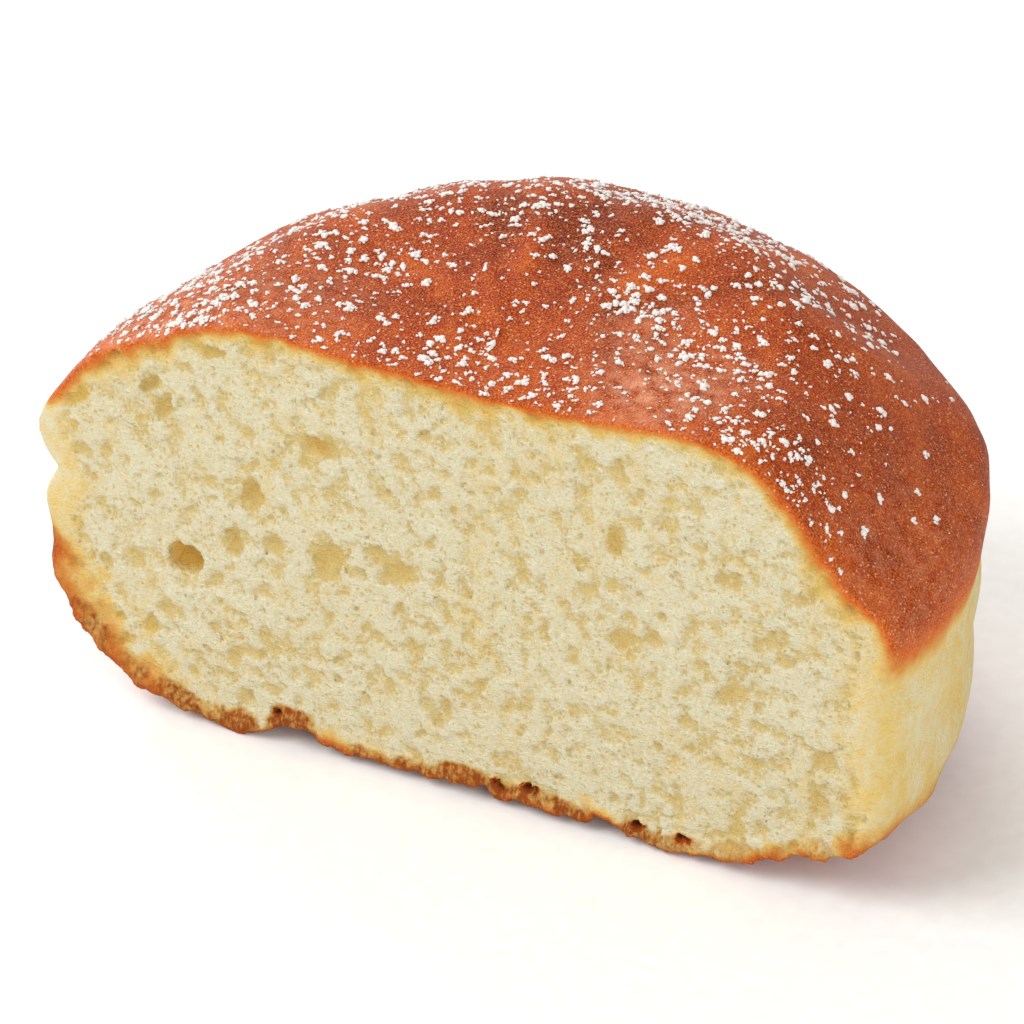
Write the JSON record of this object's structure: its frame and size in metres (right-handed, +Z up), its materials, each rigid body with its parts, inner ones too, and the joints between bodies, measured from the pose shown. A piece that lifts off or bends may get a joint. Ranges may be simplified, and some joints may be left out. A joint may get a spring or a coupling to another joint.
{
  "type": "cut beignet",
  "caption": "Round fried yeast beignet cut upright through its middle, with a browned domed crust dusted with sugar, a pale collar and an open pale crumb.",
  "frame": {"origin": "middle of the bounding box's underside, on the table that the beignet lies on", "axes": "+X runs along the cut from the viewer's left to right, +Y points from the cut face to the round back, +Z is up"},
  "size_m": [0.0928, 0.0582, 0.0487],
  "materials": {
    "fried_dough": "matte browned crust"
  },
  "bodies": {
    "root": {"beignet": "fried_dough"}
  },
  "joints": []
}
